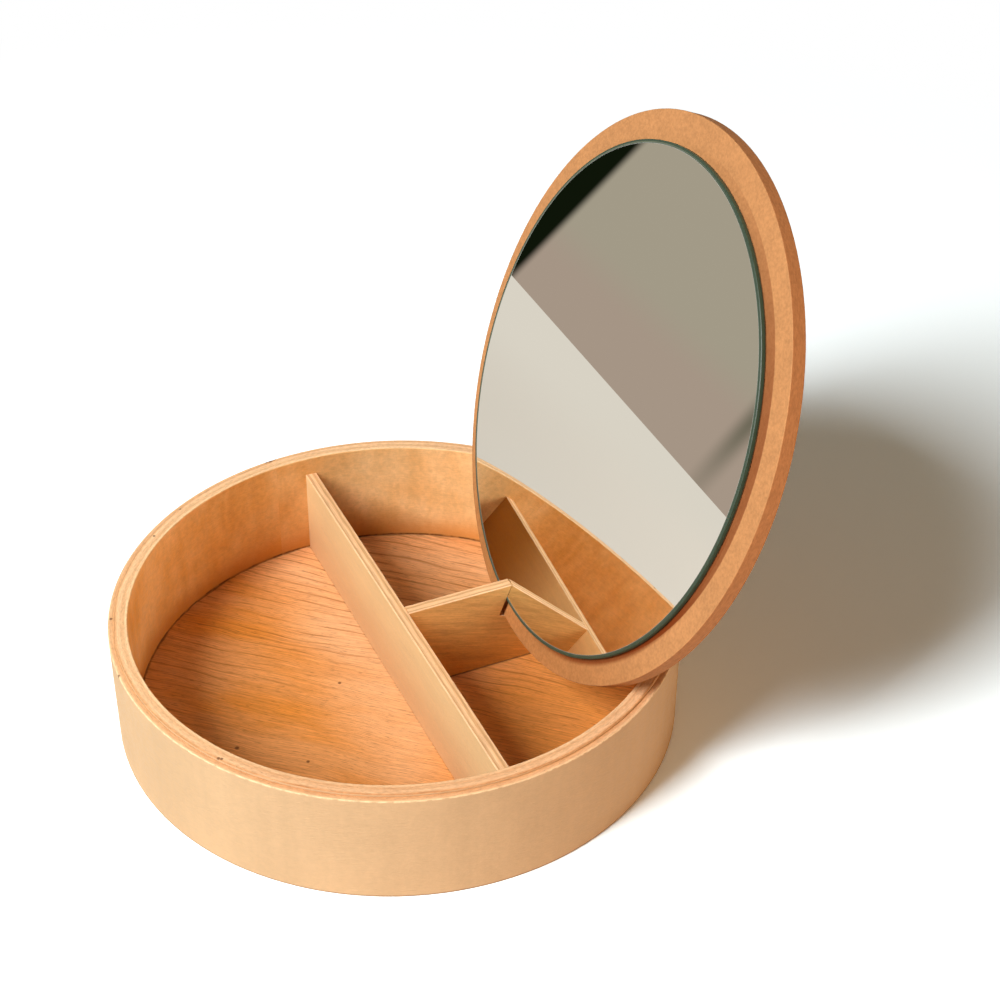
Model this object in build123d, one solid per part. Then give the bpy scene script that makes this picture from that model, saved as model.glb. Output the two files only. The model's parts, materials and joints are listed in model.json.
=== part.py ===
"""Round vanity box of two bent wooden hoops, with a mirror lid standing in a slotted divider.

Millimetres, +Z up. The origin is the centre of the box's underside, where it rests. The main
divider runs along Y and the slotted cross divider runs from it along +X. The lid stands in the
slot, leaning towards +X, with its mirror facing -X.
"""

from build123d import *
import os
from math import atan, cos, degrees, radians, sin, sqrt

# Box: two hoops glued one inside the other, round a thin base panel.
INNER_DIAMETER = 219.0
INNER_HOOP_WALL = 5.5
OUTER_HOOP_WALL = 2.5
BOX_HEIGHT = 51.0
OUTER_HOOP_DROP = 1.0  # how far the outer hoop's rim stays below the inner hoop's
BASE_THICKNESS = 2.0
HOOP_ROUNDING = 0.5
SEAM_ANGLE = 97.5  # where the outer hoop's two ends meet, in degrees from +X
SEAM_GAP = 0.3

# Dividers: plywood strips standing on the base panel.
DIVIDER_THICKNESS = 5.0
DIVIDER_HEIGHT = 40.5
DIVIDER_EDGE_BREAK = 0.3
MAIN_DIVIDER_X = 2.25  # middle of the main divider's thickness
CROSS_DIVIDER_Y = 1.0  # middle of the cross divider's thickness
GLUE_GAP = 0.05  # between a divider's end and the round wall

# Slot for the lid, cut down into the cross divider.
SLOT_LEAN = 21.5  # degrees from upright
SLOT_FROM_MAIN = 47.0  # main divider to the slot's mouth, along the cross divider's top
SLOT_DEPTH = 15.7  # down the slope
SLOT_PLAY = 0.6  # how much wider the slot is than the lid is thick

# Lid: a round board with a round mirror glued a little off its middle.
LID_THICKNESS = 6.0
LID_EDGE_BREAK = 0.4
MIRROR_INSET = 5.5  # mirror's edge inside the box's inner wall when the lid is on
MIRROR_THICKNESS = 2.0
MIRROR_EDGE_BREAK = 0.25
SILVERING_THICKNESS = 0.1
TAPE_THICKNESS = 0.2
TAPE_INSET = 4.0
MIRROR_OFF_CENTRE = 2.8  # both down the lid and towards +Y

# How the lid stands in the slot.
LID_SIDE_SHIFT = 13.5  # lid's middle from the cross divider's middle, towards -Y
LID_GAP = 0.16  # left on each side of the lid, where it turns across the slot
REST_GAP = 0.1  # between the lid's edge and the slot's floor

# Worked out from the sizes above.
inner_radius = INNER_DIAMETER / 2
hoop_radius = inner_radius + INNER_HOOP_WALL  # where the two hoops meet
box_radius = hoop_radius + OUTER_HOOP_WALL
divider_top = BASE_THICKNESS + DIVIDER_HEIGHT
main_face_x = MAIN_DIVIDER_X + DIVIDER_THICKNESS / 2

lid_radius = hoop_radius  # the lid lies on the inner hoop's rim, inside the outer hoop's edge
mirror_radius = inner_radius - MIRROR_INSET
mirror_stack = TAPE_THICKNESS + SILVERING_THICKNESS + MIRROR_THICKNESS

lean = radians(SLOT_LEAN)
turn = atan(max(0.0, SLOT_PLAY - 2 * LID_GAP) / DIVIDER_THICKNESS)  # lid across its slot
slot_width = (LID_THICKNESS + mirror_stack) / cos(turn) + SLOT_PLAY

up_slope = Vector(sin(lean), 0, cos(lean))
across_slot = Vector(cos(lean), 0, -sin(lean))  # from the slot's mirror side to its board side
slot_mouth = Vector(main_face_x + SLOT_FROM_MAIN, CROSS_DIVIDER_Y, divider_top)
slot_foot = slot_mouth - up_slope * SLOT_DEPTH


def ring(outer_radius, wall, bottom, top):
    """Upright tube with its bottom and top faces at the given heights."""
    height = top - bottom
    outside = Cylinder(outer_radius, height, align=(Align.CENTER, Align.CENTER, Align.MIN))
    inside = Cylinder(outer_radius - wall, height, align=(Align.CENTER, Align.CENTER, Align.MIN))
    return Pos(0, 0, bottom) * (outside - inside)


def disc(radius, bottom, thickness):
    """Flat round plate whose underside is at the given height."""
    plate = Cylinder(radius, thickness, align=(Align.CENTER, Align.CENTER, Align.MIN))
    return Pos(0, 0, bottom) * plate


def inner_hoop():
    """Thick inner hoop, standing on the base panel."""
    hoop = ring(hoop_radius, INNER_HOOP_WALL, BASE_THICKNESS, BOX_HEIGHT)
    rim = hoop.edges().group_by(Axis.Z)[-1]
    return fillet(rim, HOOP_ROUNDING)


def outer_hoop():
    """Thin outer hoop round the inner hoop and the base panel, with a seam where its ends meet."""
    hoop = ring(box_radius, OUTER_HOOP_WALL, 0, BOX_HEIGHT - OUTER_HOOP_DROP)
    outline = hoop.edges().filter_by(GeomType.CIRCLE).sort_by(SortBy.RADIUS)[-2:]
    hoop = fillet(outline, HOOP_ROUNDING)
    seam = Box(2 * OUTER_HOOP_WALL, SEAM_GAP, 2 * BOX_HEIGHT)
    seam = Rot(0, 0, SEAM_ANGLE) * Pos(box_radius - OUTER_HOOP_WALL / 2, 0, BOX_HEIGHT / 2) * seam
    return hoop - seam


def base_panel():
    """Thin round floor inside the outer hoop."""
    return disc(hoop_radius, 0, BASE_THICKNESS)


def divider(length, thickness):
    """Strip along X standing on Z = 0, with the two long edges of its top broken."""
    strip = Box(length, thickness, DIVIDER_HEIGHT, align=(Align.MIN, Align.CENTER, Align.MIN))
    top_edges = strip.edges().filter_by(Axis.X).group_by(Axis.Z)[-1]
    return chamfer(top_edges, DIVIDER_EDGE_BREAK)


def inside_wall():
    """Round space that the dividers are trimmed to."""
    return disc(inner_radius - GLUE_GAP, BASE_THICKNESS, BOX_HEIGHT)


def main_divider():
    """Divider across the whole box."""
    strip = divider(INNER_DIAMETER, DIVIDER_THICKNESS)
    strip = Pos(MAIN_DIVIDER_X, -inner_radius, BASE_THICKNESS) * Rot(0, 0, 90) * strip
    return strip & inside_wall()


def slot_cutter():
    """Leaning slot, open at the top, through the cross divider's thickness."""
    length = 2 * SLOT_DEPTH + DIVIDER_HEIGHT
    cutter = Box(slot_width, 2 * DIVIDER_THICKNESS, length, align=(Align.MIN, Align.CENTER, Align.MIN))
    return Plane(origin=slot_foot, x_dir=across_slot, z_dir=up_slope) * cutter


def cross_divider():
    """Divider from the main divider to the wall, with the slot that holds the lid."""
    strip = divider(inner_radius - main_face_x, DIVIDER_THICKNESS)
    strip = Pos(main_face_x, CROSS_DIVIDER_Y, BASE_THICKNESS) * strip
    return (strip & inside_wall()) - slot_cutter()


def lid_plane():
    """Plane of the lid board's mirror side, at its middle, as it stands in the slot.

    Its X runs along the lid towards -Y, its Y up the slope, and its Z out of the mirror.
    """
    facing = Vector(0, 1, 0) * sin(turn) - across_slot * cos(turn)
    side_step = max(0.0, LID_SIDE_SHIFT - DIVIDER_THICKNESS / 2) / cos(turn)
    rise = REST_GAP + sqrt(lid_radius**2 - side_step**2)
    glass_step = LID_GAP + (DIVIDER_THICKNESS / 2 - LID_SIDE_SHIFT) * sin(turn) / cos(turn)
    board_step = glass_step + mirror_stack / cos(turn)
    middle = slot_foot + up_slope * rise + across_slot * board_step - Vector(0, LID_SIDE_SHIFT, 0)
    return Plane(origin=middle, x_dir=up_slope.cross(facing), z_dir=facing)


def lid_board():
    """Round board."""
    board = disc(lid_radius, -LID_THICKNESS, LID_THICKNESS)
    return fillet(board.edges().filter_by(GeomType.CIRCLE), LID_EDGE_BREAK)


def mirror_layer(radius, bottom, thickness):
    """One round layer of the mirror, set off the board's middle."""
    return Pos(-MIRROR_OFF_CENTRE, -MIRROR_OFF_CENTRE, 0) * disc(radius, bottom, thickness)


def mirror_tape():
    """Adhesive sheet that holds the mirror on the board."""
    return mirror_layer(mirror_radius - TAPE_INSET, 0, TAPE_THICKNESS)


def mirror_silvering():
    """Reflecting coat on the back of the glass."""
    return mirror_layer(mirror_radius - MIRROR_EDGE_BREAK, TAPE_THICKNESS, SILVERING_THICKNESS)


def mirror_glass():
    """Round glass with lightly broken edges."""
    glass = mirror_layer(mirror_radius, TAPE_THICKNESS + SILVERING_THICKNESS, MIRROR_THICKNESS)
    return chamfer(glass.edges().filter_by(GeomType.CIRCLE), MIRROR_EDGE_BREAK)


box_pieces = {
    "outer_hoop": outer_hoop(),
    "inner_hoop": inner_hoop(),
    "base_panel": base_panel(),
    "main_divider": main_divider(),
    "cross_divider": cross_divider(),
}
lid_pieces = {
    "lid_board": lid_board(),
    "mirror_tape": mirror_tape(),
    "mirror_silvering": mirror_silvering(),
    "mirror_glass": mirror_glass(),
}

standing = lid_plane().location
pieces = box_pieces | {name: standing * piece for name, piece in lid_pieces.items()}

os.makedirs("parts", exist_ok=True)
for name, piece in pieces.items():
    piece.label = name
    export_step(piece, f"parts/{name}.step")

print("slot width", round(slot_width, 2), "lid turn", round(degrees(turn), 2))
print("lid middle", [round(v, 2) for v in lid_plane().origin], "lift axis", [round(v, 4) for v in up_slope])
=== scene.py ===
"""Looks of the round vanity box: its woods, lid board and mirror, with a floor, lights and a camera.

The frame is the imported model's: +Z up, origin at the middle of the underside, the main divider
along Y and the slotted cross divider along +X. Blender units are metres. Inside the materials of
the object, places are in millimetres. Colours are linear, except inside tone().
"""

import json
from collections import namedtuple
from math import cos, pi, radians, sin

import bpy
from mathutils import Matrix, Vector


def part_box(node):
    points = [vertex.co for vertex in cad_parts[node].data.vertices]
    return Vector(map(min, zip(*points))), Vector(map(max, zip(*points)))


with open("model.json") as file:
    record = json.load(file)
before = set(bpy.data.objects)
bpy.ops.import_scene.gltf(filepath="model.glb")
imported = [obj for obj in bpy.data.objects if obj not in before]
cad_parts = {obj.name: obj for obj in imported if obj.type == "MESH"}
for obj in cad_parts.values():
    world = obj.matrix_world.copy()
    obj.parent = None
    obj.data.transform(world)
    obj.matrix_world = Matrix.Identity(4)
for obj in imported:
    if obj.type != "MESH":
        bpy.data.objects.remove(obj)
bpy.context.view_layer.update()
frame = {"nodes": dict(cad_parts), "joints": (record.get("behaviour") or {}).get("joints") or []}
PER_METRE = 1000.0
WHITE = (1, 1, 1)

# Camera
CAMERA_PLACE = Vector((-0.23258, -0.60650, 0.57010))
CAMERA_AZIMUTH = radians(-24.709)
CAMERA_ELEVATION = radians(35.870)
CAMERA_ROLL = radians(0.560)
SENSOR_WIDTH = 36.0
LENS = 72.55

# Lamps: azimuth and elevation of each lamp as the object sees it, distance, width and height in
# metres, the light that it sends to a surface square to it, and its colour.
LAMP_TARGET = Vector((0.03, 0.0, 0.06))
KEY = (radians(-164), radians(43), 3.0, (0.9, 1.5), 1.46, (1.0, 0.985, 0.97))
SIDE_FILL = (radians(-62), radians(10), 3.0, (1.8, 0.9), 0.39, (1.0, 0.53, 0.22))
AMBIENT = (0.110, 0.106, 0.087)

# Floor sheet, with its far left edge where the mirror sees it end. It is whiter to the camera than
# in mirrors, and it fades to plain colours from FADE_START to FADE_END metres from the middle.
FLOOR_REACH = 4.0
FLOOR_WIDTH = 6.0
FLOOR_EDGE_POINT = Vector((-0.433, 0.732))
FLOOR_EDGE_DIRECTION = Vector((0.255, 0.967)).normalized()
FLOOR_PAPER = (0.8, 0.8, 0.8)
FLOOR_TINT = (1.23, 1.38, 1.46)
MIRRORED_FLOOR_TINT = (0.67, 0.62, 0.56)
MIRRORED_FLOOR = (0.763, 0.700, 0.613)
FADE_START = 0.42
FADE_END = 0.75

# Studio that the mirror looks into. Places in it are directions: two of them mark an edge or a
# line, heights are the z of a direction, and widths are in radians.
STUDIO_WALL = (0.402, 0.351, 0.270)
STUDIO_WALL_LOW = (0.418, 0.326, 0.261)
STUDIO_WALL_TURN = (-0.125, -0.100)
STUDIO_DARK = (0.005, 0.008, 0.003)
DARK_EDGE = (Vector((-0.531, 0.846, -0.048)), Vector((-0.521, 0.842, -0.141)))
DARK_WIDTH = 0.12
DARK_SOFT = 0.005
STUDIO_STREAK = (0.146, 0.133, 0.092)
STREAK_LINE = (Vector((-0.633, 0.765, -0.118)), Vector((-0.630, 0.761, -0.157)))
STREAK_HALF = 0.0045
STREAK_SOFT = 0.009
STREAK_HEIGHTS = (-0.165, -0.115)
STREAK_STRENGTHS = (0.30, 0.90)

# Places read from the frame, in millimetres
box_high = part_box("outer_hoop")[1] * PER_METRE
hoop_low, hoop_high = (corner * PER_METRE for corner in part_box("inner_hoop"))
main_low, main_high = (corner * PER_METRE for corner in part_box("main_divider"))
cross_low, cross_high = (corner * PER_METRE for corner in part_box("cross_divider"))
glass_low, glass_high = (corner * PER_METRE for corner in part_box("mirror_glass"))
OUTER_RADIUS = box_high.x
SPLICE_RADIUS = hoop_high.y  # where the two hoops meet
BORE_RADIUS = main_high.y  # the main divider reaches the bore, but for its glue
OUTER_HEIGHT = box_high.z
BASE_TOP = hoop_low.z  # the inner hoop stands on the base


def widest_face_normal(node):
    """Normal of the largest face of a CAD node."""
    faces = frame["nodes"][node].data.polygons
    return max(faces, key=lambda face: face.area).normal.copy()


# Axes of the lid: up its slope, out of the mirror and across
LID_UP = Vector(frame["joints"][0]["axis"]).normalized()
LID_NORMAL = widest_face_normal("mirror_glass")
if LID_NORMAL.x > 0:
    LID_NORMAL = -LID_NORMAL
LID_ACROSS = LID_UP.cross(LID_NORMAL)
GLASS_MIDDLE = (glass_low + glass_high) / 2


def tone(red, green, blue):
    """Linear colour of an 8-bit display colour."""
    parts = [part / 255 for part in (red, green, blue)]
    return tuple(p / 12.92 if p <= 0.04045 else ((p + 0.055) / 1.055) ** 2.4 for p in parts)


NOISE_RANGE = (0.28, 0.72)  # most of the noise lies between these
DULL_SPECULAR = 0.12
NICK = (0.10, 0.035, 0.015)
NICK_CORE = 0.4
NICK_STRENGTH = 0.8


class Tree:
    """Node tree of a material or world, with short calls for the nodes used here."""

    def __init__(self, owner):
        owner.use_nodes = True
        self.nodes = owner.node_tree.nodes
        self.links = owner.node_tree.links
        self.nodes.clear()

    def add(self, kind, inputs=(), **settings):
        """New node. Its inputs are values or outputs of other nodes, in order or by name."""
        made = self.nodes.new("ShaderNode" + kind)
        for name, value in settings.items():
            setattr(made, name, value)
        pairs = inputs.items() if isinstance(inputs, dict) else enumerate(inputs)
        for key, value in pairs:
            if isinstance(value, bpy.types.NodeSocket):
                self.links.new(value, made.inputs[key])
            elif value is not None:
                is_color = made.inputs[key].type == "RGBA"
                made.inputs[key].default_value = (*value, 1.0) if is_color else value
        return made

    def math(self, operation, *values):
        return self.add("Math", values, operation=operation).outputs[0]

    def vector(self, operation, *values):
        return self.add("VectorMath", values, operation=operation).outputs["Vector"]

    def dot(self, first, second):
        return self.add("VectorMath", (first, second), operation="DOT_PRODUCT").outputs["Value"]

    def scaled(self, color, factor):
        return self.add("VectorMath", {0: color, 3: factor}, operation="SCALE").outputs["Vector"]

    def join(self, x, y, z=0.0):
        return self.add("CombineXYZ", (x, y, z)).outputs[0]

    def parts(self, vector):
        return self.add("SeparateXYZ", (vector,)).outputs

    def times(self, value, factor):
        return self.math("MULTIPLY", value, factor)

    def plus(self, value, other):
        return self.math("ADD", value, other)

    def minus(self, value, other):
        return self.math("SUBTRACT", value, other)

    def length(self, x, y):
        return self.math("SQRT", self.plus(self.times(x, x), self.times(y, y)))

    def rise(self, value, low, high, start=0.0, end=1.0):
        """Smooth step from start to end as value goes from low to high."""
        made = self.add("MapRange", (value, low, high, start, end), interpolation_type="SMOOTHSTEP")
        return made.outputs[0]

    def band(self, value, middle, half, soft):
        """1 within half of middle, and 0 further out, with soft edges."""
        away = self.math("ABSOLUTE", self.minus(value, middle))
        return self.rise(away, half - soft / 2, half + soft / 2, 1.0, 0.0)

    def noise(self, place, scales, detail=2.0, roughness=0.5):
        """Noise from 0 to 1. The scales of the place's first coordinates are in cells per unit."""
        scaled = [self.times(value, scale) for value, scale in zip(place, scales)]
        sockets = {"Vector": self.join(*scaled, *place[len(scales):]), "Scale": 1.0}
        sockets.update({"Detail": detail, "Roughness": roughness})
        return self.add("TexNoise", sockets).outputs[0]

    def grain(self, place, scales, detail=2.0, roughness=0.5):
        """Noise with its values spread over the whole range from 0 to 1."""
        return self.rise(self.noise(place, scales, detail, roughness), *NOISE_RANGE)

    def around(self, *weights):
        """Sum of weighted (value, weight) pairs that stays about 1 on average."""
        total = 1.0 - sum(weight for value, weight in weights) / 2
        for value, weight in weights:
            total = self.plus(self.times(value, weight), total)
        return total

    def mix(self, factor, first, second, blend="MIX"):
        inputs = {0: factor, 6: first, 7: second}
        return self.add("Mix", inputs, data_type="RGBA", blend_type=blend).outputs[2]

    def ramp(self, factor, stops):
        """Colour ramp with (position, colour) stops."""
        made = self.add("ValToRGB", (factor,))
        elements = made.color_ramp.elements
        while len(elements) < len(stops):
            elements.new(1.0)
        for element, (position, color) in zip(elements, stops):
            element.position = position
            element.color = (*color, 1.0)
        return made.outputs[0]

    def place(self):
        """Place on the object at rest, in millimetres."""
        return self.scaled(self.add("TexCoord").outputs["Object"], PER_METRE)

    def normal(self):
        """Direction that the face itself looks in."""
        return self.add("NewGeometry").outputs["True Normal"]

    def away(self, place, point):
        return self.add("VectorMath", (place, point), operation="DISTANCE").outputs["Value"]

    def nicked(self, color, place, nicks):
        """Colour with small round dark marks, each given as (x, y, z, radius)."""
        total = 0.0
        for x, y, z, radius in nicks:
            nick = self.rise(self.away(place, (x, y, z)), radius * NICK_CORE, radius, 1.0, 0.0)
            total = self.plus(total, nick)
        return self.mix(self.times(self.math("MINIMUM", total, 1.0), NICK_STRENGTH), color, NICK)

    def show(self, sockets):
        """Sends a Principled shader with these inputs to the material's output."""
        shader = self.add("BsdfPrincipled", sockets)
        self.add("OutputMaterial", (shader.outputs[0],))

    def show_dull(self, color, roughness, relief, depth):
        """Shows dull wood, board or foam, with relief of the given depth in metres."""
        bump = self.add("Bump", {"Strength": 1.0, "Distance": depth, "Height": relief})
        sockets = {"Base Color": color, "Roughness": roughness, "Normal": bump.outputs[0]}
        sockets["Specular IOR Level"] = DULL_SPECULAR
        self.show(sockets)


def new_tree(name):
    """A material and its empty node tree."""
    material = bpy.data.materials.new(name)
    return material, Tree(material)


def dress(material, *nodes):
    """Gives CAD nodes a material."""
    for node in nodes:
        mesh = frame["nodes"][node].data
        mesh.materials.clear()
        mesh.materials.append(material)


# ---------------------------------------------------------------- materials

# A grain or noise is given as its scales in cells per millimetre, its detail and its roughness.
# A number in place of a coordinate picks another part of the same noise.

SIDE_TO_FLAT = (0.35, 0.75)  # how level a face is where its look turns from side to flat
PLY_PORES = ((0.9, 2.4), 1.0)
PLY_PORE_EDGE = (0.24, 0.32)
# Colour of the dark joints, partly real gaps and partly painted shade.
GAP_SHADE = (0.10, 0.035, 0.010)

SEAM_ANGLE = radians(97.5)  # of the outer hoop's seam, from +X
HOOP_FACE = (0.605, 0.41, 0.232)
# The inside's deeper orange is partly painted shade.
HOOP_INNER_DEEP = (0.70, 0.335, 0.090)
HOOP_INNER_PALE = (0.90, 0.57, 0.270)
# Painted shade at the foot of the inner wall.
HOOP_INNER_FOOT_SHADE = (0.56, 0.19, 0.02)
# Painted contact shadow along the foot of the outer wall.
HOOP_FOOT_SHADOW = (0.20, 0.10, 0.05)
HOOP_CLOUDS = ((0.035, 0.03), 3.0)
HOOP_BANDS = ((0.16, 0.015), 3.0)
HOOP_MOTTLE = ((0.5, 0.4), 3.0, 0.6)
HOOP_FIBRES = ((0.4, 2.4), 2.0)
HOOP_RELIEF = 0.00006
# Heights of the painted contact shadow at the outer wall's foot.
FOOT_SHADOW_HEIGHTS = (0.4, 1.1)
# Heights of the painted shade at the inner wall's foot.
FOOT_SHADE_HEIGHTS = (BASE_TOP, BASE_TOP + 18.0)
# Heights of the dark joint at the inner wall's foot, partly a real gap and partly painted shade.
GAP_HEIGHTS = (BASE_TOP + 0.2, BASE_TOP + 1.2)
# Painted light: the inner wall is paler towards the right, where light falls on it.
LIT_PALE_RIGHT = (-30.0, 90.0)
HOOP_NICKS = (
    (-110.6, 35.5, 50.0, 0.9),
    (-117.4, 0.1, 49.6, 1.0),
    (-78.9, 81.4, 51.0, 0.8),
    (-63.0, 95.8, 51.0, 0.8),
    (-96.4, -61.7, 51.0, 0.9),
    (-95.4, -62.5, 51.0, 0.8),
    # At the seam
    (-14.6, 116.2, 50.4, 1.7),
    (-16.6, 116.0, 50.4, 1.3),
    (-12.6, 116.6, 50.2, 1.2),
)

RIM_LAYERS = (
    (0.00, tone(226, 180, 130)),
    (0.07, tone(252, 214, 166)),
    (0.14, tone(246, 206, 160)),
    (0.24, tone(234, 186, 138)),
    (0.38, tone(240, 196, 150)),
    (0.52, tone(250, 206, 160)),
    (0.60, tone(240, 190, 140)),
    (0.67, tone(202, 146, 96)),
    (0.73, tone(232, 180, 130)),
    (0.86, tone(238, 188, 140)),
    (0.94, tone(248, 208, 162)),
    (1.00, tone(252, 216, 168)),
)
RIM_WAVER = ((0.05,), 3.0)
RIM_WAVER_WIDTH = 1.6
RIM_STREAKS = ((0.06, 1.1), 3.0, 0.7)
RIM_STREAK_TINT = (0.84, 0.76, 0.70)
RIM_FLECKS = ((0.45, 1.5), 3.0)
RIM_FRONT = (-20.0, -95.0)
RIM_FRONT_TINT = (0.88, 0.80, 0.76)
# Bright line on the outer hoop's upper corner: partly a worn edge, partly a painted highlight.
CORNER_WEAR_AND_HIGHLIGHT = ((0.35,), 2.0)
WORN_CORNER_HIGHLIGHT = tone(255, 225, 180)


def hoop_place(t, place):
    """Arc, radius and height of a place on the hoops. The arc starts and ends at the seam."""
    seam_behind = {"Vector": place, "Angle": pi - SEAM_ANGLE}
    turned = t.add("VectorRotate", seam_behind, rotation_type="Z_AXIS").outputs[0]
    x, y, z = t.parts(turned)
    return t.times(t.math("ARCTAN2", y, x), SPLICE_RADIUS), t.length(x, y), z


def hoop_sides(t, x, arc, radius, z, mottle, fibres):
    """Colour of the hoops' upright faces: even outside, and clouded and deeper inside, with painted
    light and shade.
    """
    clouds = t.grain((arc, z, radius), *HOOP_CLOUDS)
    bands = t.grain((arc, z, radius), *HOOP_BANDS)
    shade = t.around((clouds, 0.06), (bands, 0.04), (mottle, 0.06), (fibres, 0.04))
    # Painted contact shadow along the foot of the outer face.
    foot_shadow = t.rise(z, *FOOT_SHADOW_HEIGHTS, 0.75, 0.0)
    outer = t.mix(foot_shadow, t.scaled(HOOP_FACE, shade), HOOP_FOOT_SHADOW)

    # Painted light: paler towards the right of the inner face.
    right = t.rise(x, *LIT_PALE_RIGHT, 0.0, 0.55)
    pale = t.plus(t.plus(t.times(clouds, 0.65), t.times(bands, 0.10)), right)
    inner = t.mix(t.math("MINIMUM", pale, 1.0), HOOP_INNER_DEEP, HOOP_INNER_PALE)
    inner = t.scaled(inner, t.around((mottle, 0.14), (fibres, 0.10), (bands, 0.04)))
    # Painted shade at the foot of the inner face.
    inner = t.mix(t.rise(z, *FOOT_SHADE_HEIGHTS, 0.75, 0.0), inner, HOOP_INNER_FOOT_SHADE)
    # Dark joint at the inner foot, partly a real gap and partly painted shade.
    gap = t.times(t.rise(z, *GAP_HEIGHTS, 1.0, 0.0), t.rise(bands, 0.1, 0.6, 0.4, 0.9))
    inner = t.mix(gap, inner, GAP_SHADE)
    inside = t.rise(radius, BORE_RADIUS + 1.5, BORE_RADIUS + 3.0, 1.0, 0.0)
    return t.mix(inside, outer, inner)


def hoop_rim(t, y, arc, radius, streaks):
    """Colour of the layers on the rim, from the bore to the outside."""
    wide = OUTER_RADIUS - BORE_RADIUS
    waver = t.times(t.minus(t.noise((arc, 0.0), *RIM_WAVER), 0.5), RIM_WAVER_WIDTH)
    middle = t.band(radius, (BORE_RADIUS + OUTER_RADIUS) / 2, wide / 2 - 0.8, 1.2)
    across = t.plus(radius, t.times(waver, middle))
    layers = t.ramp(t.math("DIVIDE", t.minus(across, BORE_RADIUS), wide), RIM_LAYERS)
    layers = t.mix(t.rise(y, *RIM_FRONT, 0.0, 0.75), layers, RIM_FRONT_TINT, "MULTIPLY")
    layers = t.mix(t.times(streaks, 0.8), layers, RIM_STREAK_TINT, "MULTIPLY")
    flecks = t.grain((arc, radius, 3.0), *RIM_FLECKS)
    pores = t.rise(t.noise((arc, radius, 6.0), *PLY_PORES), *PLY_PORE_EDGE, 0.62, 1.0)
    return t.scaled(layers, t.times(t.around((flecks, 0.24)), pores))


def worn_corner_and_highlight(t, arc, radius, z):
    """Strength of the bright line along the outer hoop's upper corner: partly a worn edge, partly a
    painted highlight.
    """
    top = t.rise(z, OUTER_HEIGHT - 0.9, OUTER_HEIGHT - 0.4)
    corner = t.times(t.rise(radius, OUTER_RADIUS - 0.35, OUTER_RADIUS - 0.1), top)
    wear_and_highlight = t.rise(t.noise((arc, 0.0, 7.0), *CORNER_WEAR_AND_HIGHLIGHT), 0.35, 0.6)
    return t.times(t.times(corner, wear_and_highlight), 0.6)


def hoop_material():
    """Bent plywood of both hoops: smooth upright faces, and layers that show on the rim."""
    material, t = new_tree("hoop_wood")
    place = t.place()
    x, y, _ = t.parts(place)
    arc, radius, z = hoop_place(t, place)
    mottle = t.grain((arc, z, radius), *HOOP_MOTTLE)
    fibres = t.grain((arc, z, radius), *HOOP_FIBRES)
    streaks = t.grain((arc, radius), *RIM_STREAKS)
    sides = hoop_sides(t, x, arc, radius, z, mottle, fibres)
    rim = t.rise(t.math("ABSOLUTE", t.parts(t.normal())[2]), *SIDE_TO_FLAT)
    color = t.mix(rim, sides, hoop_rim(t, y, arc, radius, streaks))
    # Bright worn edge and painted highlight along the outer upper corner.
    color = t.mix(worn_corner_and_highlight(t, arc, radius, z), color, WORN_CORNER_HIGHLIGHT)
    color = t.nicked(color, place, HOOP_NICKS)
    relief = t.plus(fibres, t.times(streaks, 0.8))
    t.show_dull(color, t.rise(mottle, 0.2, 0.8, 0.46, 0.62), relief, HOOP_RELIEF)
    return material


# Plywood of a divider. Its front is the face towards -X or -Y, darkened by painted shade at the
# floor and lightened by painted light at the top. Its other face goes from the first of two colours,
# by the wall, to the
# second. Tilt is the slope of the grain, and contrast is the grain's strength.
Plywood = namedtuple("Plywood", "name front foot_tint other tilt contrast")
MAIN_PLYWOOD = Plywood(
    name="main_plywood",
    front=(0.66, 0.43, 0.207),
    foot_tint=(0.82, 0.74, 0.76),
    # Painted shade on the other face, darkest by the back wall.
    other=((0.40, 0.165, 0.030), (0.88, 0.52, 0.22)),
    tilt=0.0,
    contrast=0.5,
)
CROSS_PLYWOOD = Plywood(
    name="cross_plywood",
    front=(0.71, 0.345, 0.105),
    foot_tint=(0.96, 0.84, 0.56),
    other=((0.70, 0.38, 0.15), (0.70, 0.38, 0.15)),
    tilt=0.3,
    contrast=1.4,
)
# Painted light: the front is lighter towards the top.
TOP_LIGHT_TINT = (1.05, 1.14, 1.22)
OTHER_FACE_SHADE_CHANGE = (85.0, 10.0)
PLY_CLOUDS = ((0.03, 0.10), 2.0)
PLY_GRAIN = ((0.05, 0.75), 3.0, 0.65)
PLY_FUZZ = ((0.5, 1.6), 2.0)
PLY_RELIEF = 0.00005
TOP_LAYERS = (
    (0.00, tone(254, 212, 166)),
    (0.07, tone(240, 192, 146)),
    (0.13, tone(206, 154, 106)),
    (0.22, tone(216, 168, 120)),
    (0.30, tone(236, 188, 140)),
    (0.42, tone(247, 196, 148)),
    (0.53, tone(238, 188, 138)),
    (0.62, tone(214, 162, 112)),
    (0.70, tone(208, 156, 106)),
    (0.80, tone(232, 184, 134)),
    (0.92, tone(242, 192, 144)),
    (1.00, tone(252, 210, 162)),
)
TOP_WAVER = ((0.05,), 3.0)
TOP_WAVER_SHARE = 0.16
TOP_STREAKS = ((0.09, 2.4), 3.0, 0.6)


def divider_top(t, run, side, side_low, side_high, streaks):
    """Colour of the layers on a divider's top edge."""
    share = t.math("DIVIDE", t.minus(side, side_low), side_high - side_low)
    waver = t.times(t.minus(t.noise((run, 0.0, 3.0), *TOP_WAVER), 0.5), TOP_WAVER_SHARE)
    share = t.plus(share, t.times(waver, t.band(share, 0.5, 0.34, 0.2)))
    pores = t.rise(t.noise((run, side), *PLY_PORES), *PLY_PORE_EDGE, 0.66, 1.0)
    shade = t.plus(t.around((streaks, 0.34)), -0.08)
    return t.scaled(t.ramp(share, TOP_LAYERS), t.times(shade, pores))


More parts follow.
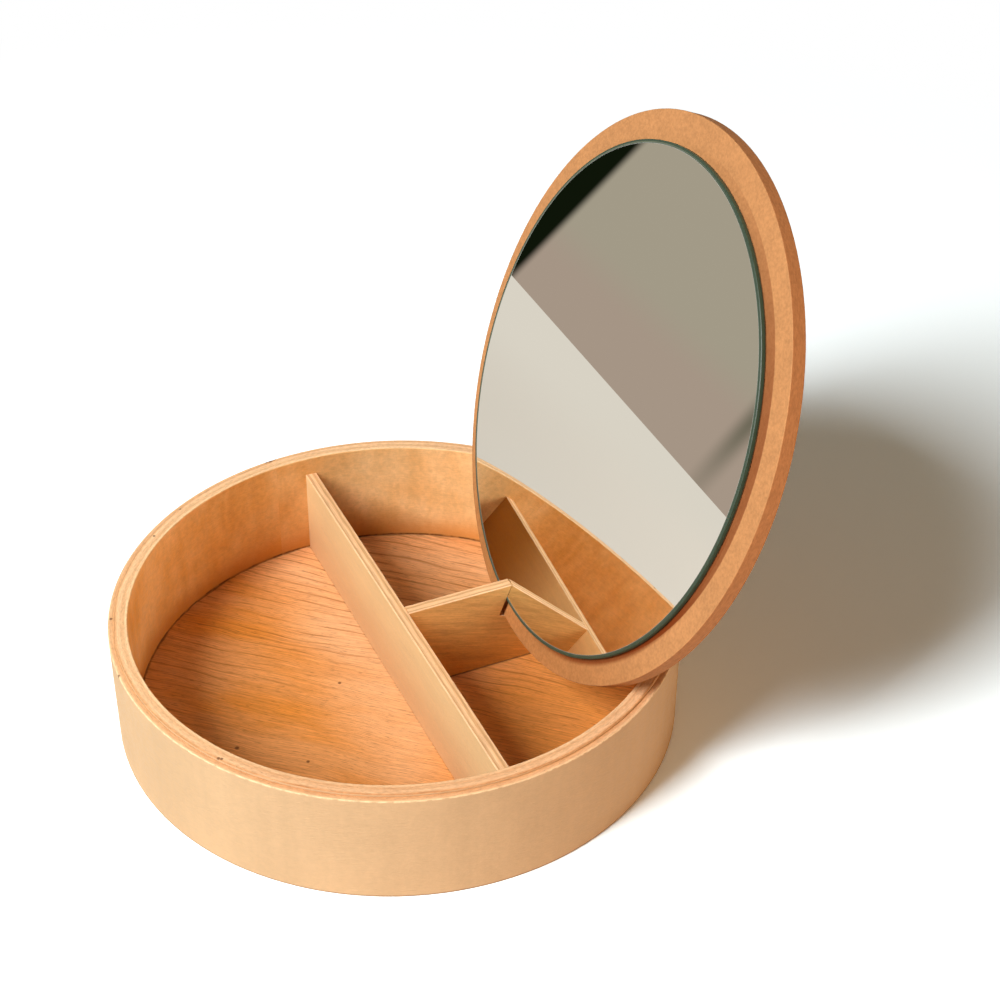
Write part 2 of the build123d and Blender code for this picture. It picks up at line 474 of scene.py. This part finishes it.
def divider_material(look, low, high, axis):
    """Plywood of a divider along an axis: faces with a faint grain, and layers on its top edge."""
    material, t = new_tree(look.name)
    x, y, z = t.parts(t.place())
    run, side = (x, y) if axis == "X" else (y, x)
    side_low, side_high = (low.y, high.y) if axis == "X" else (low.x, high.x)
    lean = t.plus(z, t.times(run, look.tilt))
    clouds = t.grain((run, lean, side), *PLY_CLOUDS)
    grain = t.grain((run, lean, side), *PLY_GRAIN)
    fuzz = t.grain((run, lean, side), *PLY_FUZZ)
    streaks = t.grain((run, side), *TOP_STREAKS)

    behind = t.rise(side, side_high - 1.5, side_high - 0.5)
    # The main divider's other face is painted in shade towards the back wall.
    face = t.mix(behind, look.front, t.mix(t.rise(run, *OTHER_FACE_SHADE_CHANGE), *look.other))
    weights = ((clouds, 0.10), (grain, 0.16), (fuzz, 0.08))
    shade = t.around(*((value, weight * look.contrast) for value, weight in weights))
    # Painted shade towards the floor and painted light towards the top of the front.
    painted_light_and_shade = t.mix(t.rise(z, low.z, high.z), look.foot_tint, TOP_LIGHT_TINT)
    face = t.mix(t.minus(1.0, behind), t.scaled(face, shade), painted_light_and_shade, "MULTIPLY")

    rim = t.rise(t.parts(t.normal())[2], *SIDE_TO_FLAT)
    color = t.mix(rim, face, divider_top(t, run, side, side_low, side_high, streaks))
    roughness = t.rise(grain, 0.2, 0.8, 0.48, 0.62)
    t.show_dull(color, roughness, t.plus(fuzz, streaks), PLY_RELIEF)
    return material


GRAIN_ANGLE = radians(-42)
VENEER_DEEP = (0.69, 0.250, 0.041)
VENEER_PALE = (0.79, 0.440, 0.220)
VENEER_LINE = (0.34, 0.120, 0.024)
VENEER_DRIFT = ((0.015, 0.02), 2.0)
VENEER_DRIFT_WIDTH = 9.0
VENEER_CLOUDS = ((0.018, 0.05), 2.0)
VENEER_LINES = ((0.012, 1.10), 4.0, 0.75)
VENEER_FINE = ((0.09, 1.9), 3.0, 0.7)
VENEER_PORES = ((0.24, 2.4), 1.0)
VENEER_PORE_EDGE = (0.29, 0.42)
VENEER_RELIEF = 0.00008
VENEER_SPOTS = (
    (-21.9, 13.4, 2.0, 1.0),
    (-74.7, -7.5, 2.0, 1.3),
    (-50.8, -26.9, 2.0, 1.0),
)
# Painted light beside the main divider and painted shade at the front right of the floor.
LIT_PALE_LEFT = (-45.0, -5.0)
PALE_SHARES_RIGHT = (0.4, 0.8)
SHADED_FRONT_RIGHT = (20.0, 70.0)
GROWTH_SWAY = ((0.012, 0.03), 2.0)
GROWTH_BREAKS = ((0.03, 0.6), 2.0)
GROWTH_LINES_PER_MM = 0.21
JOINT_FRAY = ((0.12, 0.12), 3.0)
JOINT_FRAY_WIDTH = 0.9


def veneer_tone_and_light(t, x, y, clouds):
    """Share of the pale colour, part the veneer's tone and part painted light and shade: most beside
    the main divider, where the floor is lit, and least at the front right, in shade.
    """
    right = t.rise(y, cross_low.y, cross_high.y, *PALE_SHARES_RIGHT)
    pale = t.times(t.rise(x, *LIT_PALE_LEFT, 0.0, 0.6), t.rise(x, 1.0, 5.0, 1.0, right))
    # Painted shade, deeper towards the front right.
    front_right_shade = t.rise(t.minus(x, y), *SHADED_FRONT_RIGHT, 1.0, 0.3)
    return t.times(t.plus(pale, t.times(clouds, 0.35)), front_right_shade)


def growth_lines(t, x, y, run, side, clouds):
    """Strength of the veneer's growth lines, which show at the back and on the right."""
    sway = t.times(t.noise((run, side, 7.0), *GROWTH_SWAY), 3.0)
    phase = t.math("FRACT", t.plus(t.times(side, GROWTH_LINES_PER_MM), sway))
    growth = t.rise(t.math("ABSOLUTE", t.minus(phase, 0.5)), 0.02, 0.16, 1.0, 0.0)
    broken = t.rise(t.noise((run, side, 1.0), *GROWTH_BREAKS), 0.36, 0.58)
    strong = t.plus(t.plus(y, t.times(clouds, 40.0)), t.rise(x, 0.0, 5.0, 0.0, 70.0))
    return t.times(t.times(growth, broken), t.rise(strong, 15.0, 75.0, 0.08, 1.0))


def floor_joints_and_shade(t, x, y):
    """Strength of the dark joints at the wall and at the dividers' feet, partly real joints and
    partly painted shade.
    """
    frayed = t.times(t.grain((x, y, 2.0), *JOINT_FRAY), JOINT_FRAY_WIDTH)
    wall = t.rise(t.plus(t.length(x, y), frayed), BORE_RADIUS - 0.5, BORE_RADIUS + 0.3, 0.0, 0.75)
    in_front = t.times(t.math("LESS_THAN", y, cross_low.y), t.math("GREATER_THAN", x, 0.0))
    cross_foot = t.times(t.rise(t.minus(cross_low.y, y), 0.3, 1.3, 1.0, 0.0), in_front)
    half = (main_high.x - main_low.x) / 2
    main_foot = t.times(t.band(x, (main_low.x + main_high.x) / 2, half + 0.4, 0.6), 0.3)
    return t.math("MAXIMUM", t.math("MAXIMUM", wall, cross_foot), main_foot)


def veneer_material():
    """Open-pored veneer of the base, with its grain across the box at an angle."""
    material, t = new_tree("floor_veneer")
    place = t.place()
    x, y, _ = t.parts(place)
    run = t.dot(place, (cos(GRAIN_ANGLE), sin(GRAIN_ANGLE), 0))
    side = t.dot(place, (-sin(GRAIN_ANGLE), cos(GRAIN_ANGLE), 0))
    drift = t.minus(t.noise((run, side), *VENEER_DRIFT), 0.5)
    side = t.plus(side, t.times(drift, VENEER_DRIFT_WIDTH))
    clouds = t.grain((run, side, 4.0), *VENEER_CLOUDS)
    lines = t.grain((run, side), *VENEER_LINES)
    fine = t.grain((run, side, 2.0), *VENEER_FINE)
    color = t.mix(veneer_tone_and_light(t, x, y, clouds), VENEER_DEEP, VENEER_PALE)
    color = t.scaled(color, t.around((lines, 0.30), (fine, 0.32)))
    growth = growth_lines(t, x, y, run, side, clouds)
    color = t.mix(t.times(growth, 0.62), color, VENEER_LINE)
    pores = t.rise(t.noise((run, side, 5.0), *VENEER_PORES), *VENEER_PORE_EDGE, 0.68, 1.0)
    color = t.nicked(t.scaled(color, pores), place, VENEER_SPOTS)
    # Dark joints, partly real and partly painted shade.
    color = t.mix(t.times(floor_joints_and_shade(t, x, y), 0.85), color, GAP_SHADE)
    relief = t.plus(pores, t.times(fine, 0.6))
    t.show_dull(color, t.rise(fine, 0.2, 0.8, 0.60, 0.48), relief, VENEER_RELIEF)
    return material


def lid_frame(t):
    """Place on the lid: across, up the slope and out from the mirror side, in millimetres."""
    place = t.vector("SUBTRACT", t.place(), GLASS_MIDDLE)
    return t.dot(place, LID_ACROSS), t.dot(place, LID_UP), t.dot(place, LID_NORMAL)


# Places on the lid: heights and radii are from the middle of the glass, and angles are from
# across towards up. A band is its middle, half its width and the width of its soft edge.
LID_FACE = (0.475, 0.222, 0.086)
LID_SIDE = (0.42, 0.175, 0.064)
# Painted shade beside the mirror: a darker crescent of board and a contact shadow.
LID_SHADE = (0.15, 0.022, 0.001)
# The face is darker and more orange towards its foot.
LID_LOW = (-50.0, -108.0)
LID_LOW_TINT = (0.80, 0.71, 0.60)
# Middle, radius, edge, fade and strengths of the crescent of painted shade.
CRESCENT_MIDDLE = (3.42, 3.08, 0.0)
CRESCENT_RADIUS = 104.3
CRESCENT_SOFT = 0.3
CRESCENT_FADE = (radians(15), radians(105))
CRESCENT_DEEPENING = (radians(-25), radians(-5))
CRESCENT_STRENGTHS = (0.95, 0.70)
# Radii and angles of the painted contact shadow.
CONTACT_RADII = (105.0, 107.2)
CONTACT_BAND = (-0.55, 0.75, 0.5)  # of angles, in radians
SHADE_START = (103.0, 103.6)
BOARD_CLOUDS = ((0.05, 0.05), 2.0)
BOARD_SPECKLE = ((0.8, 0.8), 2.0, 0.6)
BOARD_FLECKS = ((0.35, 0.35, 0.35), 2.0)
BOARD_SAWN = ((0.35, 0.35, 1.2), 3.0, 0.65)
BOARD_ROUGHNESS = 0.6
BOARD_RELIEF = 0.00004


def shade_by_mirror(t, across, up):
    """Strength of the painted shade beside the mirror: a darker crescent of board and a contact
    shadow.
    """
    angle = t.math("ARCTAN2", up, across)
    from_middle = t.away(t.join(across, up), CRESCENT_MIDDLE)
    edge = (CRESCENT_RADIUS - CRESCENT_SOFT, CRESCENT_RADIUS + CRESCENT_SOFT)
    strength = t.rise(angle, *CRESCENT_DEEPENING, *CRESCENT_STRENGTHS)
    strength = t.rise(angle, *CRESCENT_FADE, strength, 0.0)
    crescent = t.times(t.rise(from_middle, *edge, 1.0, 0.0), strength)
    reach = t.length(across, up)
    contact = t.times(t.rise(reach, *CONTACT_RADII, 0.8, 0.0), t.band(angle, *CONTACT_BAND))
    return t.times(t.math("MAXIMUM", crescent, contact), t.rise(reach, *SHADE_START))


def board_material():
    """Fibre board of the lid: fine speckle on its faces, darker and streaked on its sawn edge."""
    material, t = new_tree("lid_board")
    across, up, out = lid_frame(t)
    outward = t.dot(t.normal(), LID_NORMAL)
    mirror_side = t.rise(outward, *SIDE_TO_FLAT)
    flat = t.rise(t.math("ABSOLUTE", outward), *SIDE_TO_FLAT)
    clouds = t.grain((across, up, out), *BOARD_CLOUDS)
    speckle = t.grain((across, up, out), *BOARD_SPECKLE)
    flecks = t.grain((across, up, out), *BOARD_FLECKS)
    sawn = t.grain((across, up, out), *BOARD_SAWN)
    face = t.scaled(LID_FACE, t.around((clouds, 0.08), (speckle, 0.18), (flecks, 0.10)))
    # Darker and more orange towards the foot of the face.
    low = t.times(t.rise(up, *LID_LOW), mirror_side)
    face = t.mix(low, face, LID_LOW_TINT, "MULTIPLY")
    # Painted shade of the crescent and contact shadow beside the mirror.
    face = t.mix(t.times(shade_by_mirror(t, across, up), mirror_side), face, LID_SHADE)
    side = t.scaled(LID_SIDE, t.around((sawn, 0.24), (speckle, 0.10)))
    t.show_dull(t.mix(flat, side, face), BOARD_ROUGHNESS, t.plus(speckle, sawn), BOARD_RELIEF)
    return material


MIRROR_TINT = (0.90, 0.92, 0.90)
MIRROR_TURN = (0.6, 0.9)
MIRROR_END = (102.3, 102.6)
GLASS_DEPTH = (-1.15, 1.15)
EDGE_LAYERS = (
    (0.00, tone(36, 50, 39)),
    (0.25, tone(48, 72, 56)),
    (0.70, tone(58, 84, 65)),
    (1.00, tone(46, 64, 50)),
)
EDGE_RIPPLE = ((0.6, 0.6, 2.0), 3.0)
# Painted highlight: a pale line on the bevelled rim, fading from one side to the other.
BEVEL_HIGHLIGHT = tone(128, 132, 112)
BEVEL_HIGHLIGHT_BAND = (102.9, 0.18, 0.3)  # of radii
BEVEL_HIGHLIGHT_CHANGE = (-60.0, 60.0)
BEVEL_HIGHLIGHT_STRENGTHS = (0.5, 0.05)


def glass_material():
    """Mirror plate: its face mirrors sharply, and its ground edge is dark green glass with a painted
    highlight.
    """
    material, t = new_tree("mirror_glass")
    across, up, out = lid_frame(t)
    reach = t.length(across, up)
    flat = t.rise(t.math("ABSOLUTE", t.dot(t.normal(), LID_NORMAL)), *MIRROR_TURN)
    mirrored = t.times(flat, t.rise(reach, *MIRROR_END, 1.0, 0.0))
    ripple = t.noise((across, up, out), *EDGE_RIPPLE)
    edge = t.ramp(t.rise(out, *GLASS_DEPTH), EDGE_LAYERS)
    edge = t.scaled(edge, t.plus(t.times(ripple, 0.7), 0.65))
    # Painted highlight on the bevelled rim.
    bevel_highlight = t.times(t.band(reach, *BEVEL_HIGHLIGHT_BAND), flat)
    bevel_highlight = t.times(bevel_highlight, t.rise(across, *BEVEL_HIGHLIGHT_CHANGE, *BEVEL_HIGHLIGHT_STRENGTHS))
    color = t.mix(mirrored, t.mix(bevel_highlight, edge, BEVEL_HIGHLIGHT), MIRROR_TINT)
    roughness = t.times(t.rise(ripple, 0.2, 0.8, 0.35, 0.5), t.minus(1.0, mirrored))
    t.show({"Base Color": color, "Metallic": mirrored, "Roughness": roughness})
    return material


SILVER_RIM = tone(120, 130, 110)
SILVER_RIM_RADII = (102.5, 104.5)
SILVER_BLOTS = ((0.12, 0.12), 3.0)
SILVER_BLOT_WIDTH = 1.5
TAPE_DEEP = tone(205, 200, 186)
TAPE_PALE = tone(236, 232, 220)
TAPE_CELLS = ((2.0, 2.0, 2.0), 2.0)
TAPE_ROUGHNESS = 0.8
TAPE_RELIEF = 0.00005


def silvering_material():
    """Silver layer behind the glass, a little darker and greener close to its rim."""
    material, t = new_tree("mirror_silvering")
    across, up, _ = lid_frame(t)
    blots = t.times(t.noise((across, up), *SILVER_BLOTS), SILVER_BLOT_WIDTH)
    rim = t.rise(t.plus(t.length(across, up), blots), *SILVER_RIM_RADII)
    color = t.mix(t.times(rim, 0.5), MIRROR_TINT, SILVER_RIM)
    t.show({"Base Color": color, "Metallic": 1.0, "Roughness": t.times(rim, 0.02)})
    return material


def tape_material():
    """Foam tape that holds the mirror: off-white with fine cells."""
    material, t = new_tree("mirror_tape")
    cells = t.noise(lid_frame(t), *TAPE_CELLS)
    t.show_dull(t.mix(cells, TAPE_DEEP, TAPE_PALE), TAPE_ROUGHNESS, cells, TAPE_RELIEF)
    return material


# ---------------------------------------------------------------- surroundings


def set_camera():
    """Camera at the angle and distance that the object is shown from."""
    data = bpy.data.cameras.new("camera")
    data.lens = LENS
    data.sensor_width = SENSOR_WIDTH
    camera = bpy.data.objects.new("camera", data)
    turn = Matrix.Rotation(CAMERA_AZIMUTH, 4, "Z")
    tilt = Matrix.Rotation(pi / 2 - CAMERA_ELEVATION, 4, "X")
    roll = Matrix.Rotation(CAMERA_ROLL, 4, "Z")
    camera.matrix_world = Matrix.Translation(CAMERA_PLACE) @ turn @ tilt @ roll
    bpy.context.scene.collection.objects.link(camera)
    bpy.context.scene.camera = camera


def add_lamp(name, azimuth, elevation, distance, size, level, color):
    """Soft box that faces the object. At level 1 a white surface square to it renders white."""
    data = bpy.data.lights.new(name, "AREA")
    data.shape = "RECTANGLE"
    data.size, data.size_y = size
    data.energy = level * (pi * distance) ** 2
    data.color = color
    lamp = bpy.data.objects.new(name, data)
    away = Vector((cos(elevation) * cos(azimuth), cos(elevation) * sin(azimuth), sin(elevation)))
    lamp.rotation_euler = away.to_track_quat("Z", "Y").to_euler()
    lamp.location = LAMP_TARGET + away * distance
    lamp.visible_camera = False
    bpy.context.scene.collection.objects.link(lamp)


def studio(t, toward):
    """What mirrors see round the object: a two-toned wall with a dark doorway and a soft streak."""
    _, y, z = t.parts(toward)
    wall = t.mix(t.rise(z, *STUDIO_WALL_TURN), STUDIO_WALL_LOW, STUDIO_WALL)
    from_streak = t.dot(toward, STREAK_LINE[0].cross(STREAK_LINE[1]).normalized())
    streak = t.band(from_streak, 0.0, STREAK_HALF, STREAK_SOFT)
    streak = t.times(streak, t.rise(z, *STREAK_HEIGHTS, *STREAK_STRENGTHS))
    wall = t.mix(streak, wall, STUDIO_STREAK)
    from_edge = t.dot(toward, DARK_EDGE[0].cross(DARK_EDGE[1]).normalized())
    doorway = t.band(from_edge, -DARK_WIDTH / 2, DARK_WIDTH / 2, DARK_SOFT)
    doorway = t.times(doorway, t.math("GREATER_THAN", y, 0.0))
    return t.mix(doorway, wall, STUDIO_DARK)


def set_world():
    """Dim light from all round. Cameras see white, and mirrors see the studio."""
    world = bpy.data.worlds.new("world")
    bpy.context.scene.world = world
    t = Tree(world)
    toward = t.add("TexCoord").outputs["Generated"]
    rays = t.add("LightPath").outputs
    mirrored = t.math("MAXIMUM", rays["Is Glossy Ray"], rays["Is Transmission Ray"])
    color = t.mix(mirrored, AMBIENT, studio(t, toward))
    color = t.mix(rays["Is Camera Ray"], color, WHITE)
    t.add("OutputWorld", (t.add("Background", (color, 1.0)).outputs[0],))


def floor_material():
    """Pale floor that keeps the object's shadow and fades to plain white further out."""
    material, t = new_tree("floor")
    x, y, _ = t.parts(t.add("NewGeometry").outputs["Position"])
    rays = t.add("LightPath").outputs
    seen = t.math("MAXIMUM", rays["Is Camera Ray"], rays["Is Glossy Ray"])
    seen = t.math("MAXIMUM", seen, rays["Is Transmission Ray"])
    paper = t.add("BsdfDiffuse", {"Color": FLOOR_PAPER}).outputs[0]
    tint = t.mix(rays["Is Camera Ray"], MIRRORED_FLOOR_TINT, FLOOR_TINT)
    bright = t.add("BsdfDiffuse", {"Color": tint}).outputs[0]
    plain = t.mix(rays["Is Camera Ray"], MIRRORED_FLOOR, WHITE)
    far = t.add("Emission", (plain, 1.0)).outputs[0]
    near = t.add("MixShader", (seen, paper, bright)).outputs[0]
    fade = t.times(t.rise(t.length(x, y), FADE_START, FADE_END), seen)
    t.add("OutputMaterial", (t.add("MixShader", (fade, near, far)).outputs[0],))
    return material


def add_floor():
    """Floor sheet. Its far left edge is where the mirror sees it end."""
    along = FLOOR_EDGE_DIRECTION * FLOOR_REACH
    right = Vector((FLOOR_EDGE_DIRECTION.y, -FLOOR_EDGE_DIRECTION.x)) * FLOOR_WIDTH
    start = FLOOR_EDGE_POINT - along
    end = FLOOR_EDGE_POINT + along
    corners = [(*point, 0.0) for point in (start, start + right, end + right, end)]
    mesh = bpy.data.meshes.new("floor")
    mesh.from_pydata(corners, [], [(0, 1, 2, 3)])
    mesh.materials.append(floor_material())
    floor = bpy.data.objects.new("floor", mesh)
    bpy.context.scene.collection.objects.link(floor)


set_camera()
add_lamp("key", *KEY)
add_lamp("side_fill", *SIDE_FILL)
set_world()
add_floor()

dress(hoop_material(), "outer_hoop", "inner_hoop")
dress(divider_material(MAIN_PLYWOOD, main_low, main_high, "Y"), "main_divider")
dress(divider_material(CROSS_PLYWOOD, cross_low, cross_high, "X"), "cross_divider")
dress(veneer_material(), "base_panel")
dress(board_material(), "lid_board")
dress(glass_material(), "mirror_glass")
dress(silvering_material(), "mirror_silvering")
dress(tape_material(), "mirror_tape")

bpy.context.scene.view_settings.view_transform = "Standard"
